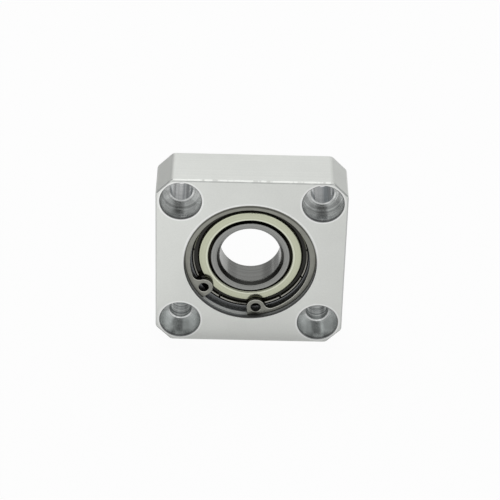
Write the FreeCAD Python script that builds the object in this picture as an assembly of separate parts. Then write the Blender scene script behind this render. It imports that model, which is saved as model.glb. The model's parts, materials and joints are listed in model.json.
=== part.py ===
import FreeCAD, Part
import math
import os

# Square flange bearing unit, in millimetres.
# A square aluminium block carries a shielded deep groove ball bearing. The bearing goes into the bore from
# the front, stops on a shoulder at the back and is kept there by a spring retaining ring in a groove.
# The shaft axis is Y. The mounting face is the plane Y = 0, the front face looks along -Y and Z is up.

# Block
BLOCK_SIDE = 46.0
BLOCK_DEPTH = 13.0
CORNER_CHAMFER = 3.85
CORNER_ROUNDING = 1.5
EDGE_BREAK = 0.3

# Screw holes with pockets for socket heads
SCREW_PITCH = 34.0
SCREW_HOLE_RADIUS = 2.75
SCREW_HOLE_BREAK = 0.4
SCREW_HOLE_BREAK_DEPTH = 0.15
HEAD_POCKET_RADIUS = 4.95
HEAD_POCKET_DEPTH = 5.2
HEAD_POCKET_BREAK = 0.15

# Bearing bore, from the front face inwards
BORE_RADIUS = 16.01
BORE_BREAK = 0.2
FRONT_LIP = 1.2
GROOVE_WIDTH = 1.3
GROOVE_RADIUS = 16.85
BACK_OPENING_RADIUS = 14.5

# Retaining ring: its inner edge is an eccentric circle, so the ring is widest about opposite its gap
RING_THICKNESS = 1.2
RING_RADIUS = 16.83
RING_INNER_RADIUS = 14.6
RING_INNER_OFFSET = 0.55
RING_INNER_OFFSET_ANGLE = 18.0
RING_GAP_ANGLE = -113.5
EAR_ANGLE = 30.25
EAR_CENTRE_RADIUS = 13.95
EAR_RADIUS = 2.25
EAR_HOLE_RADIUS = 1.25
EAR_ROOT_ROUNDING = 1.6
RING_EDGE_BREAK = 0.1

# Bearing rings
BEARING_WIDTH = 9.0
BEARING_RADIUS = 16.0
SHAFT_RADIUS = 7.5
OUTER_RING_ROUNDING = 0.6
OUTER_LAND_RADIUS = 14.25
OUTER_LAND_LENGTH = 0.5
OUTER_LAND_BREAK = 0.1
SHIELD_GROOVE_RADIUS = 14.5
OUTER_SHOULDER_RADIUS = 13.35
INNER_SHOULDER_RADIUS = 10.15
INNER_FACE_RADIUS = 9.6
INNER_STEP_LENGTH = 1.4
INNER_EDGE_ROUNDING = 0.12
SHAFT_CHAMFER_RADIAL = 0.7
SHAFT_CHAMFER_AXIAL = 1.15

# Balls and races
BALL_COUNT = 9
BALL_RADIUS = 4.762 / 2
PITCH_RADIUS = 11.75
FIRST_BALL_ANGLE = 90.0
RACE_RADIUS = 0.52 * 2 * BALL_RADIUS
RACE_PLAY = 0.02

# Shields: pressed sheet whose notched rim was crimped out under the land of the outer ring
SHEET = 0.3
SHIELD_INNER_RADIUS = 10.2
SHIELD_FLAT_DEPTH = 0.2
SHIELD_FLOOR_DEPTH = 1.0
SHIELD_INNER_ROLL = 0.2
SHIELD_FLAT_RADIUS = 12.5
SHIELD_FLOOR_START = 12.72
SHIELD_FLOOR_END = 14.2
RIM_TOP_RADIUS = 13.72
RIM_TOP_DEPTH = 0.42
BEND = 0.3
RIM_BEND = 0.1
NOTCH_COUNT = 11
NOTCH_WIDTH = 0.5
FIRST_NOTCH_ANGLE = 9.0

# Pressed steel cage in two halves, joined by rivets between the balls
CAGE_SHEET = 0.45
CAGE_INNER_RADIUS = 10.6
CAGE_OUTER_RADIUS = 12.9
POCKET_PLAY = 0.08
RIVET_RADIUS = 0.4
RIVET_PLAY = 0.01
RIVET_HEAD_RADIUS = 0.7
RIVET_HEAD_HEIGHT = 0.3
RIVET_HEAD_ROUNDING = 0.2

# Places along the shaft axis
FRONT = -BLOCK_DEPTH
GROOVE_FRONT = FRONT + FRONT_LIP
BEARING_FRONT = GROOVE_FRONT + GROOVE_WIDTH
BEARING_BACK = BEARING_FRONT + BEARING_WIDTH
BEARING_MIDDLE = (BEARING_FRONT + BEARING_BACK) / 2
RING_FRONT = BEARING_FRONT - RING_THICKNESS

ORIGIN = FreeCAD.Vector(0, 0, 0)
X_AXIS = FreeCAD.Vector(1, 0, 0)
Y_AXIS = FreeCAD.Vector(0, 1, 0)
TOWARDS_FRONT = FreeCAD.Vector(0, -1, 0)
PAST = 1.0
BALL_PITCH_ANGLE = 360 / BALL_COUNT


def on_section(radius, y):
    """Point of a turned outline: radius from the shaft axis, then place along it."""
    return FreeCAD.Vector(radius, y, 0)


def on_front(x, z):
    """Point on the front face."""
    return FreeCAD.Vector(x, FRONT, z)


def around_shaft(radius, degrees, y):
    """Point at an angle seen from the front, counted from X towards Z."""
    angle = math.radians(degrees)
    return FreeCAD.Vector(radius * math.cos(angle), y, radius * math.sin(angle))


def turn(shape, degrees):
    """Copy of a shape turned about the shaft axis, as seen from the front."""
    return shape.rotated(ORIGIN, TOWARDS_FRONT, degrees)


def corner_arc(before, corner, after, rounding):
    """Start, middle and end of the arc that rounds a corner."""
    to_before = (before - corner).normalize()
    to_after = (after - corner).normalize()
    half_angle = to_before.getAngle(to_after) / 2
    reach = rounding / math.tan(half_angle)
    inwards = (to_before + to_after).normalize()
    centre = corner + inwards * (rounding / math.sin(half_angle))
    return corner + to_before * reach, centre - inwards * rounding, corner + to_after * reach


def outline(corners, place, closed=True):
    """Wire through corners given as (u, v) or (u, v, rounding)."""
    points = [place(corner[0], corner[1]) for corner in corners]
    last = len(points) - 1
    edges = []
    stops = []
    for index, corner in enumerate(corners):
        at_end = not closed and index in (0, last)
        if len(corner) == 2 or at_end:
            stops.append((points[index], points[index]))
            continue
        before = points[index - 1]
        after = points[(index + 1) % len(points)]
        start, middle, end = corner_arc(before, points[index], after, corner[2])
        edges.append(Part.Arc(start, middle, end).toShape())
        stops.append((start, end))
    for index in range(len(points) if closed else last):
        leave = stops[index][1]
        arrive = stops[(index + 1) % len(points)][0]
        edges.append(Part.LineSegment(leave, arrive).toShape())
    return Part.Wire(Part.sortEdges(edges)[0])


def turned(corners):
    """Solid of revolution about the shaft axis."""
    return Part.Face(outline(corners, on_section)).revolve(ORIGIN, Y_AXIS, 360)


def disc(radius, x, z, y, thickness):
    """Round plate whose axis is parallel to the shaft."""
    return Part.makeCylinder(radius, thickness, FreeCAD.Vector(x, y, z), Y_AXIS)


def both_ends(half):
    """Bearing ring outline from its half behind the middle plane, mirrored to the front."""
    back = [(corner[0], BEARING_MIDDLE + corner[1], *corner[2:]) for corner in half]
    front = [(corner[0], BEARING_MIDDLE - corner[1], *corner[2:]) for corner in reversed(half)]
    return back + front


def square_block():
    """Chamfered square plate with its sharp rims broken."""
    half = BLOCK_SIDE / 2
    inset = half - CORNER_CHAMFER
    corners = []
    for side_x, side_z in ((1, 1), (-1, 1), (-1, -1), (1, -1)):
        upright_end = (side_x * half, side_z * inset, CORNER_ROUNDING)
        level_end = (side_x * inset, side_z * half, CORNER_ROUNDING)
        corners += [upright_end, level_end] if side_x == side_z else [level_end, upright_end]
    block = Part.Face(outline(corners, on_front)).extrude(Y_AXIS * BLOCK_DEPTH)
    rims = [edge for edge in block.Edges if edge.BoundBox.YLength < EDGE_BREAK]
    return block.makeChamfer(EDGE_BREAK, rims)


def bearing_bore():
    """Space that the bearing, its retaining ring and the shaft take out of the block."""
    return turned([
        (0, FRONT - PAST),
        (BORE_RADIUS + BORE_BREAK + PAST, FRONT - PAST),
        (BORE_RADIUS, FRONT + BORE_BREAK),
        (BORE_RADIUS, GROOVE_FRONT),
        (GROOVE_RADIUS, GROOVE_FRONT),
        (GROOVE_RADIUS, BEARING_FRONT),
        (BORE_RADIUS, BEARING_FRONT),
        (BORE_RADIUS, BEARING_BACK),
        (BACK_OPENING_RADIUS, BEARING_BACK),
        (BACK_OPENING_RADIUS, -EDGE_BREAK),
        (BACK_OPENING_RADIUS + EDGE_BREAK + PAST, PAST),
        (0, PAST),
    ])


def screw_hole():
    """Space for one socket head screw, on the shaft axis."""
    floor = FRONT + HEAD_POCKET_DEPTH
    return turned([
        (0, FRONT - PAST),
        (HEAD_POCKET_RADIUS + HEAD_POCKET_BREAK + PAST, FRONT - PAST),
        (HEAD_POCKET_RADIUS, FRONT + HEAD_POCKET_BREAK),
        (HEAD_POCKET_RADIUS, floor),
        (SCREW_HOLE_RADIUS + SCREW_HOLE_BREAK, floor),
        (SCREW_HOLE_RADIUS, floor + SCREW_HOLE_BREAK_DEPTH),
        (SCREW_HOLE_RADIUS, PAST),
        (0, PAST),
    ])


def housing():
    offset = SCREW_PITCH / 2
    places = [FreeCAD.Vector(x, 0, z) for x in (-offset, offset) for z in (-offset, offset)]
    holes = [screw_hole().translated(place) for place in places]
    return square_block().cut([bearing_bore()] + holes)


def ring_inner_centre(y):
    """Centre of the ring's inner edge, while the middle of the gap points down."""
    return around_shaft(RING_INNER_OFFSET, RING_INNER_OFFSET_ANGLE - 90, y)


def ring_ear():
    """Right-hand end of the retaining ring, with its gap side cut straight."""
    height = RING_RADIUS - EAR_CENTRE_RADIUS
    low_corner = FreeCAD.Vector(-EAR_RADIUS, RING_FRONT, -RING_RADIUS)
    arm = Part.makeBox(EAR_RADIUS, RING_THICKNESS, height, low_corner)
    lobe = disc(EAR_RADIUS, 0, -EAR_CENTRE_RADIUS, RING_FRONT, RING_THICKNESS)
    hole = disc(EAR_HOLE_RADIUS, 0, -EAR_CENTRE_RADIUS, RING_FRONT, RING_THICKNESS)
    return turn(arm.fuse(lobe), EAR_ANGLE), turn(hole, EAR_ANGLE)


def mirrored(shape):
    """Copy on the other side of the ring's own middle plane."""
    return shape.mirror(ORIGIN, X_AXIS)


def is_ear_root(edge):
    """True for the inside corner where the back of an ear leaves the ring."""
    middle = edge.CenterOfMass
    if edge.BoundBox.YLength < RING_THICKNESS / 2:
        return False
    ear = around_shaft(EAR_CENTRE_RADIUS, EAR_ANGLE - 90, middle.y)
    ear.x = math.copysign(ear.x, middle.x)
    on_lobe = abs(middle.distanceToPoint(ear) - EAR_RADIUS) < RING_EDGE_BREAK
    from_centre = middle.distanceToPoint(ring_inner_centre(middle.y))
    on_inner_edge = abs(from_centre - RING_INNER_RADIUS) < RING_EDGE_BREAK
    return on_lobe and on_inner_edge


def retaining_ring():
    plate = disc(RING_RADIUS, 0, 0, RING_FRONT, RING_THICKNESS)
    centre = ring_inner_centre(RING_FRONT)
    inside = disc(RING_INNER_RADIUS, centre.x, centre.z, RING_FRONT, RING_THICKNESS)
    wedge_corners = [
        around_shaft(0, 0, RING_FRONT),
        around_shaft(2 * RING_RADIUS, -90 - EAR_ANGLE, RING_FRONT),
        around_shaft(2 * RING_RADIUS, -90 + EAR_ANGLE, RING_FRONT),
        around_shaft(0, 0, RING_FRONT),
    ]
    gap = Part.Face(Part.makePolygon(wedge_corners)).extrude(Y_AXIS * RING_THICKNESS)
    ear, hole = ring_ear()
    ears = [ear.common(plate), mirrored(ear).common(plate)]
    ring = plate.cut([inside, gap]).fuse(ears).removeSplitter()
    ring = ring.makeFillet(EAR_ROOT_ROUNDING, [edge for edge in ring.Edges if is_ear_root(edge)])
    ring = ring.cut([hole, mirrored(hole)])
    rims = [edge for edge in ring.Edges if edge.BoundBox.YLength < RING_EDGE_BREAK]
    return turn(ring.makeChamfer(RING_EDGE_BREAK, rims), RING_GAP_ANGLE + 90)


def race(centre_radius):
    """Ring of round section that forms a ball groove."""
    return Part.makeTorus(centre_radius, RACE_RADIUS, FreeCAD.Vector(0, BEARING_MIDDLE, 0), Y_AXIS)


def outer_ring():
    half_width = BEARING_WIDTH / 2
    seat = half_width - SHIELD_FLOOR_DEPTH - SHEET
    land = half_width - OUTER_LAND_LENGTH
    blank = turned(both_ends([
        (OUTER_SHOULDER_RADIUS, seat),
        (SHIELD_GROOVE_RADIUS, seat),
        (SHIELD_GROOVE_RADIUS, land),
        (OUTER_LAND_RADIUS, land),
        (OUTER_LAND_RADIUS, half_width - OUTER_LAND_BREAK),
        (OUTER_LAND_RADIUS + OUTER_LAND_BREAK, half_width),
        (BEARING_RADIUS, half_width, OUTER_RING_ROUNDING),
    ]))
    return blank.cut(race(PITCH_RADIUS + BALL_RADIUS + RACE_PLAY - RACE_RADIUS))


def inner_ring():
    half_width = BEARING_WIDTH / 2
    step = half_width - INNER_STEP_LENGTH
    blank = turned(both_ends([
        (INNER_SHOULDER_RADIUS, step),
        (INNER_FACE_RADIUS, step),
        (INNER_FACE_RADIUS, half_width, INNER_EDGE_ROUNDING),
        (SHAFT_RADIUS + SHAFT_CHAMFER_RADIAL, half_width, INNER_EDGE_ROUNDING),
        (SHAFT_RADIUS, half_width - SHAFT_CHAMFER_AXIAL),
    ]))
    return blank.cut(race(PITCH_RADIUS - BALL_RADIUS - RACE_PLAY + RACE_RADIUS))


def front_shield():
    """Pressed sheet ring: flat face, step down to its seat, then a notched rim that leans back in."""
    sheet_line = outline([
        (SHIELD_INNER_RADIUS, BEARING_FRONT + SHIELD_FLAT_DEPTH + SHIELD_INNER_ROLL),
        (SHIELD_INNER_RADIUS + SHIELD_INNER_ROLL, BEARING_FRONT + SHIELD_FLAT_DEPTH, SHEET),
        (SHIELD_FLAT_RADIUS, BEARING_FRONT + SHIELD_FLAT_DEPTH, BEND),
        (SHIELD_FLOOR_START, BEARING_FRONT + SHIELD_FLOOR_DEPTH, SHEET),
        (SHIELD_FLOOR_END, BEARING_FRONT + SHIELD_FLOOR_DEPTH, RIM_BEND),
        (RIM_TOP_RADIUS, BEARING_FRONT + RIM_TOP_DEPTH),
    ], on_section, closed=False)
    section = sheet_line.makeOffset2D(-SHEET, fill=True, openResult=True)
    shield = section.revolve(ORIGIN, Y_AXIS, 360)
    notch_start = RIM_TOP_RADIUS - SHEET
    notch_corner = FreeCAD.Vector(notch_start, BEARING_FRONT, -NOTCH_WIDTH / 2)
    notch = Part.makeBox(BEARING_RADIUS - notch_start, SHIELD_FLOOR_DEPTH, NOTCH_WIDTH, notch_corner)
    angles = [FIRST_NOTCH_ANGLE + 360 * index / NOTCH_COUNT for index in range(NOTCH_COUNT)]
    return shield.cut([turn(notch, angle) for angle in angles])


def rear_shield():
    return front_shield().mirror(FreeCAD.Vector(0, BEARING_MIDDLE, 0), Y_AXIS)


def ball_angles():
    return [FIRST_BALL_ANGLE + BALL_PITCH_ANGLE * index for index in range(BALL_COUNT)]


def spheres(radius):
    """One sphere of the given radius round each ball's centre, with its poles on the radial line."""
    sphere = Part.makeSphere(radius).rotated(ORIGIN, FreeCAD.Vector(1, 1, 1), 120)
    sphere = sphere.translated(FreeCAD.Vector(PITCH_RADIUS, BEARING_MIDDLE, 0))
    return [turn(sphere, angle) for angle in ball_angles()]


def rivet_places():
    """Points on the middle plane, half way between neighbouring balls."""
    angles = [angle + BALL_PITCH_ANGLE / 2 for angle in ball_angles()]
    return [around_shaft(PITCH_RADIUS, angle, BEARING_MIDDLE) for angle in angles]


def cage_tube(length):
    """Ring as wide as the cage that starts at the middle plane and runs to the front."""
    return turned([
        (CAGE_INNER_RADIUS, BEARING_MIDDLE),
        (CAGE_OUTER_RADIUS, BEARING_MIDDLE),
        (CAGE_OUTER_RADIUS, BEARING_MIDDLE - length),
        (CAGE_INNER_RADIUS, BEARING_MIDDLE - length),
    ])


def cage_front():
    """Flat ribbon with a domed pocket over each ball and a rivet hole between pockets."""
    pocket_radius = BALL_RADIUS + POCKET_PLAY
    dome_radius = pocket_radius + CAGE_SHEET
    room = cage_tube(dome_radius + PAST)
    domes = [sphere.common(room) for sphere in spheres(dome_radius)]
    hole_radius = RIVET_RADIUS + RIVET_PLAY
    holes = [disc(hole_radius, p.x, p.z, p.y - CAGE_SHEET, CAGE_SHEET) for p in rivet_places()]
    return cage_tube(CAGE_SHEET).fuse(domes).cut(spheres(pocket_radius) + holes).removeSplitter()


def cage_rear():
    return cage_front().mirror(FreeCAD.Vector(0, BEARING_MIDDLE, 0), Y_AXIS)


def cage_rivets():
    head = CAGE_SHEET + RIVET_HEAD_HEIGHT
    rivet = turned([
        (0, -head),
        (RIVET_HEAD_RADIUS, -head, RIVET_HEAD_ROUNDING),
        (RIVET_HEAD_RADIUS, -CAGE_SHEET),
        (RIVET_RADIUS, -CAGE_SHEET),
        (RIVET_RADIUS, CAGE_SHEET),
        (RIVET_HEAD_RADIUS, CAGE_SHEET),
        (RIVET_HEAD_RADIUS, head, RIVET_HEAD_ROUNDING),
        (0, head),
    ])
    return Part.makeCompound([rivet.translated(place) for place in rivet_places()])


def main():
    pieces = {
        "housing": housing(),
        "retaining_ring": retaining_ring(),
        "outer_ring": outer_ring(),
        "inner_ring": inner_ring(),
        "front_shield": front_shield(),
        "rear_shield": rear_shield(),
        "cage_front": cage_front(),
        "cage_rear": cage_rear(),
        "cage_rivets": cage_rivets(),
    }
    for number, ball in enumerate(spheres(BALL_RADIUS), start=1):
        pieces[f"ball_{number}"] = ball
    os.makedirs("parts", exist_ok=True)
    for name, shape in pieces.items():
        shape.exportStep(f"parts/{name}.step")
        print(name, len(shape.Solids), "solids, valid", shape.isValid(), round(shape.Volume, 2), "mm3")


main()
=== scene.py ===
# %% [markdown]
# # A square flange bearing unit
# The object is a square aluminium block that holds a shielded ball bearing. A spring ring with two eared
# ends keeps the bearing in its bore, and four screw holes with pockets for the screw heads fix the block
# to a wall. Every shape here is already an exact solid, so this lesson is about finishes: what was
# turned, milled, ground, pressed or plated, and how each of those catches the light. First the solids are
# loaded, in metres, and the box round them is kept so that the end of the script can show that nothing
# grew.

# %% Load the solids
import json
import math
import bpy
from mathutils import Matrix, Vector


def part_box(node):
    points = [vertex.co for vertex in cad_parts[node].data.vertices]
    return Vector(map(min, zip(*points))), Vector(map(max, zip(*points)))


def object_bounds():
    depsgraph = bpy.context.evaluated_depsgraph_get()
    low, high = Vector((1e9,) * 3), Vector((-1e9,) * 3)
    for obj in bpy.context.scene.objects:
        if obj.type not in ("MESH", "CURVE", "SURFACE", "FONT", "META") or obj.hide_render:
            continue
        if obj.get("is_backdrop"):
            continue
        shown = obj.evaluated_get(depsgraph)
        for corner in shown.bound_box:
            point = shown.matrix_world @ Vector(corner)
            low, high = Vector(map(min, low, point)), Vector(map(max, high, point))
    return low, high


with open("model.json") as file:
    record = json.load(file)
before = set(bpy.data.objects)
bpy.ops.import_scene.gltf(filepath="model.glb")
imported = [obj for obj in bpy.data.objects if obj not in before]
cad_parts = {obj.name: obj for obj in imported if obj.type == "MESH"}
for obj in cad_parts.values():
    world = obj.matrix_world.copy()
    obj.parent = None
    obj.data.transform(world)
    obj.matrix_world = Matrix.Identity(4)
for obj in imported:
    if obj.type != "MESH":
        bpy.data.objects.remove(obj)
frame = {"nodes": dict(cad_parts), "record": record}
cad_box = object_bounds()
MM = 0.001
cad_size = [round(size / MM, 2) for size in cad_box[1] - cad_box[0]]
print("pieces:", len(frame["nodes"]), "box in mm:", cad_size)

# %% [markdown]
# ## Places that the finishes need
# A finish often stops where a tool stopped: a drill leaves its mark in the hole and not on the face
# beside it. Those borders could be painted by hand on each mesh, but the solids are round about two kinds
# of axis, the shaft and the four screws, so a distance from an axis says nearly all that is needed. The
# places come from the loaded record and from the boxes of the pieces, and the few sizes that neither
# holds are named here. A break is the small chamfer that takes the sharpness off an edge.

# %% Places and sizes
mounts = {mount["name"]: mount for mount in frame["record"]["mounts"]}
screw_sizes = mounts["flange_screws"]["dims"]
screw_offset = screw_sizes["spacing_x_mm"] * MM / 2
block_low, block_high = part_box("housing")
bearing_low, bearing_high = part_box("outer_ring")
bearing_middle = (bearing_low.y + bearing_high.y) / 2
bearing_half_width = (bearing_high.y - bearing_low.y) / 2
HOLE_RADIUS = screw_sizes["hole_r_mm"] * MM
HOLE_BREAK = 0.4 * MM
POCKET_RADIUS = 4.95 * MM
POCKET_BREAK = 0.15 * MM
BORE_RADIUS = 16.01 * MM
RIM_BREAK = 0.2 * MM
GROOVE_RADIUS = 16.85 * MM
CORNER_CHAMFER = 3.85 * MM
EDGE_BREAK = 0.3 * MM
# A mesh stands for a round wall with small flats, so a border at a wall gets a little slack.
SLACK = 0.03 * MM
print("screws", screw_offset / MM, "mm off centre, bearing from", round(bearing_low.y / MM, 2), "mm")

# %% [markdown]
# ## Colours
# Colours are easiest to judge as the hex values of an image editor, which are sRGB. Blender's shaders add
# up light, so they want linear values, and one function turns one into the other.

# %% Helper for colours
def linear(hex_colour):
    """Linear RGBA of an sRGB hex colour such as #d0d2cd."""
    parts = [int(hex_colour[start:start + 2], 16) / 255 for start in (1, 3, 5)]
    return [part / 12.92 if part <= 0.04045 else ((part + 0.055) / 1.055) ** 2.4 for part in parts] + [1.0]


print("mid grey #808080 is", round(linear("#808080")[0], 3), "in linear light")

# %% [markdown]
# ## Nodes
# A material could be wired with the mouse in the shader editor. In a script, one small function adds a
# node, sets it up and links it, so that a material below reads from top to bottom like a recipe. Most
# nodes have a single output in use, so a node may stand for that output when it is linked to the next
# one. Where sockets share a name, their number is used: a Mix node has its factor at 0, and what it mixes
# at 2 and 3 for numbers, 4 and 5 for vectors, and 6 and 7 for colours.

# %% Helpers for nodes
def link(tree, source, target):
    """Lead an output socket, or a node's first output in use, to an input socket."""
    if isinstance(source, bpy.types.Node):
        source = next(output for output in source.outputs if output.enabled)
    tree.links.new(source, target)


def add_node(tree, kind, settings=(), links=()):
    """Add a shader node with settings, its properties and socket values, and links to its inputs."""
    node = tree.nodes.new("ShaderNode" + kind)
    for name, value in dict(settings).items():
        if isinstance(name, str) and hasattr(node, name):
            setattr(node, name, value)
        else:
            node.inputs[name].default_value = value
    for name, source in dict(links).items():
        link(tree, source, node.inputs[name])
    return node


def start_material(name):
    """New material, with its node tree, its main shader and the coordinates of the object it is on."""
    material = bpy.data.materials.new(name)
    material.use_nodes = True
    tree = material.node_tree
    shader = next(node for node in tree.nodes if node.type == "BSDF_PRINCIPLED")
    return material, tree, shader, add_node(tree, "TexCoord")


print("helpers for nodes:", [helper.__name__ for helper in (link, add_node, start_material)])

# %% [markdown]
# ## Distances as textures
# The distance of a surface point from the shaft is the length of its place with Y left out. A tool that
# turns leaves fine rings: on a flat floor they lie round the axis, on a wall they follow each other along
# it. The sum of distance and depth grows in both cases, so a noise along that sum draws both. A wave
# would do so too, but its rings are all alike, and a real tool's are not.

# %% Helpers for distances and tool marks
def offset_from(tree, place, x, z):
    """Way from the axis through x, z, which is parallel to the shaft, straight out to a place."""
    offset = add_node(tree, "VectorMath", {"operation": "SUBTRACT", 1: (x, 0, z)}, {0: place})
    return add_node(tree, "VectorMath", {"operation": "MULTIPLY", 1: (1, 0, 1)}, {0: offset})


def distance_from(tree, place, x, z):
    """Distance of a place from the axis through x, z, which is parallel to the shaft."""
    return add_node(tree, "VectorMath", {"operation": "LENGTH"}, {0: offset_from(tree, place, x, z)})


def tool_rings(tree, distance, depth, spacing):
    """Height from 0 to 1 of the uneven rings that a turning tool leaves, about one ring per spacing."""
    way = add_node(tree, "Math", {"operation": "ADD"}, {0: distance, 1: depth})
    settings = {"noise_dimensions": "1D", "Scale": 1 / spacing, "Detail": 2.0}
    return add_node(tree, "TexNoise", settings, {"W": way})


print("helpers for distances:", [helper.__name__ for helper in (offset_from, distance_from, tool_rings)])

# %% [markdown]
# ## Clear anodised aluminium
# The block was milled, etched matt and clear anodised, which leaves a pale, even grey with a soft sheen.
# Its pockets, screw holes and bore were turned and drilled, so they are ringed and shinier, and its edges
# were broken with small tools. All of this is one solid. Its faces could have slots of their own, but
# many borders run across a face, so one material holds masks instead: numbers from 0 to 1 that say where
# a finish shows. They start from the distance to the shaft and to the nearest screw. For the screws the
# place is first folded into one quarter with an absolute value, because the four holes are mirror images.

# %% Aluminium: distances
aluminium, tree, shader, coordinates = start_material("clear_anodised_milled_aluminium")
place = coordinates.outputs["Object"]
axes = add_node(tree, "SeparateXYZ", (), {0: place})
depth = axes.outputs["Y"]
height_above_shaft = axes.outputs["Z"]
folded = add_node(tree, "VectorMath", {"operation": "ABSOLUTE"}, {0: place})
to_shaft = offset_from(tree, place, 0, 0)
to_screw = offset_from(tree, folded, screw_offset, screw_offset)
from_shaft = add_node(tree, "VectorMath", {"operation": "LENGTH"}, {0: to_shaft})
from_screw = add_node(tree, "VectorMath", {"operation": "LENGTH"}, {0: to_screw})
print("each screw is", round(math.sqrt(2) * screw_offset / MM, 2), "mm from the shaft")

# %% [markdown]
# ### Pockets, holes and bore
# A pocket with its hole is all that is nearer to a screw than the pocket's wall, and neither on the front
# nor on the back face. The bore and its groove are found from the shaft in the same way. Two masks
# multiplied keep what lies in both of them, and the larger of two masks keeps what lies in either.

# %% Aluminium: pockets, holes and bore
FACE_SKIN = 0.02 * MM
block_half = (block_high.y - block_low.y) / 2
below_faces = add_node(
    tree, "Math", {"operation": "COMPARE", 1: block_low.y + block_half, 2: block_half - FACE_SKIN},
    {0: depth})
at_screw = add_node(tree, "Math", {"operation": "LESS_THAN", 1: POCKET_RADIUS + SLACK}, {0: from_screw})
at_bore = add_node(tree, "Math", {"operation": "LESS_THAN", 1: GROOVE_RADIUS + SLACK}, {0: from_shaft})
in_pocket = add_node(tree, "Math", {"operation": "MULTIPLY"}, {0: at_screw, 1: below_faces})
in_bore = add_node(tree, "Math", {"operation": "MULTIPLY"}, {0: at_bore, 1: below_faces})
turned = add_node(tree, "Math", {"operation": "MAXIMUM"}, {0: in_pocket, 1: in_bore})
in_hole = add_node(tree, "Math", {"operation": "LESS_THAN", 1: HOLE_RADIUS + SLACK}, {0: from_screw})
past_wall = add_node(tree, "Math", {"operation": "GREATER_THAN", 1: BORE_RADIUS + SLACK}, {0: from_shaft})
in_groove = add_node(tree, "Math", {"operation": "MULTIPLY"}, {0: past_wall, 1: in_bore})
print("radii in mm: hole", HOLE_RADIUS / MM, "pocket", POCKET_RADIUS / MM, "bore", BORE_RADIUS / MM)

# %% [markdown]
# ### Rims
# A narrow bright band round each pocket, and one round the upper half of the bore, is a painted highlight
# on the rim. The pocket's mouth is painted dark, with painted shade below it, and its floor has a painted
# highlight round the hole. Bands this thin have next to no height, so masks are enough for them.

# %% Aluminium: painted highlight bands
RIM_HIGHLIGHT_BAND = 0.4 * MM
FULL_HIGHLIGHT_HEIGHT, FULL_SHADE_HEIGHT = 6 * MM, -2 * MM
near_front = add_node(tree, "Math", {"operation": "LESS_THAN", 1: block_low.y + RIM_BREAK}, {0: depth})
low_side = add_node(
    tree, "MapRange", {"From Min": FULL_HIGHLIGHT_HEIGHT, "From Max": FULL_SHADE_HEIGHT}, {"Value": height_above_shaft})
high_side = add_node(tree, "Math", {"operation": "SUBTRACT", 0: 1.0}, {1: low_side})
rims = [(POCKET_RADIUS + POCKET_BREAK, from_screw), (BORE_RADIUS + RIM_BREAK, from_shaft)]
bands = []
for rim_radius, distance in rims:
    band_middle = rim_radius + SLACK + RIM_HIGHLIGHT_BAND / 2
    bands.append(add_node(
        tree, "Math", {"operation": "COMPARE", 1: band_middle, 2: RIM_HIGHLIGHT_BAND / 2}, {0: distance}))
pocket_band, bore_band = bands
# The bands are a painted highlight on the rims, and on the bore only its upper half gets one.
upper_bore_band = add_node(tree, "Math", {"operation": "MULTIPLY"}, {0: bore_band, 1: high_side})
either_band = add_node(tree, "Math", {"operation": "MAXIMUM"}, {0: pocket_band, 1: upper_bore_band})
rim_highlight = add_node(tree, "Math", {"operation": "MULTIPLY"}, {0: either_band, 1: near_front})
print("deburred bands are", round(RIM_HIGHLIGHT_BAND / MM, 2), "mm wide")

# %% Aluminium: mouth and floor of the pockets
SHADE_LINE = 1.1 * MM
HOLE_HIGHLIGHT_WIDTH = 1.1 * MM
# The dark pocket mouth and the darker band below it are painted shade.
at_mouth = add_node(
    tree, "Math", {"operation": "COMPARE", 1: POCKET_RADIUS + POCKET_BREAK / 2, 2: POCKET_BREAK / 2},
    {0: from_screw})
shaded_pocket_mouth = add_node(tree, "Math", {"operation": "MULTIPLY"}, {0: at_mouth, 1: near_front})
shallow = add_node(
    tree, "MapRange", {"From Min": block_low.y + SHADE_LINE, "From Max": block_low.y + RIM_BREAK},
    {"Value": depth})
shade_under_mouth = add_node(tree, "Math", {"operation": "MULTIPLY"}, {0: shallow, 1: in_pocket})
# The bright ring on each pocket's floor round the hole is a painted highlight.
round_hole = add_node(
    tree, "MapRange", {"From Min": HOLE_RADIUS + HOLE_HIGHLIGHT_WIDTH, "From Max": HOLE_RADIUS + HOLE_BREAK},
    {"Value": from_screw})
off_wall = add_node(tree, "Math", {"operation": "GREATER_THAN", 1: HOLE_RADIUS + SLACK}, {0: from_screw})
hole_highlight = add_node(tree, "Math", {"operation": "MULTIPLY"}, {0: round_hole, 1: off_wall})
print("hole_highlight", round(HOLE_HIGHLIGHT_WIDTH / MM, 2), "mm round each hole")

# %% [markdown]
# ### Edges
# The edges of the front face were broken with a file. That left them dull at the cut corners and a little
# dull at the sides. The top edge is nicked, and a darker line, broken like the edge, runs just below it.
# The nicks could be cut into the mesh, but they are a tenth of a millimetre deep, so a noise along X
# draws them.

# %% Aluminium: corners and sides
at_edge = add_node(tree, "Math", {"operation": "LESS_THAN", 1: block_low.y + EDGE_BREAK}, {0: depth})
face_corner = 2 * block_high.x - CORNER_CHAMFER - math.sqrt(2) * EDGE_BREAK
across_corner = add_node(tree, "VectorMath", {"operation": "DOT_PRODUCT", 1: (1, 0, 1)}, {0: folded})
past_face = add_node(tree, "Math", {"operation": "GREATER_THAN", 1: face_corner}, {0: across_corner})
filed_corner = add_node(tree, "Math", {"operation": "MULTIPLY"}, {0: past_face, 1: at_edge})
sideways = add_node(tree, "SeparateXYZ", (), {0: folded}).outputs["X"]
past_side = add_node(
    tree, "Math", {"operation": "GREATER_THAN", 1: block_high.x - EDGE_BREAK}, {0: sideways})
side_edge = add_node(tree, "Math", {"operation": "MULTIPLY"}, {0: past_side, 1: at_edge})
print("edges are broken by", round(EDGE_BREAK / MM, 2), "mm")

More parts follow.
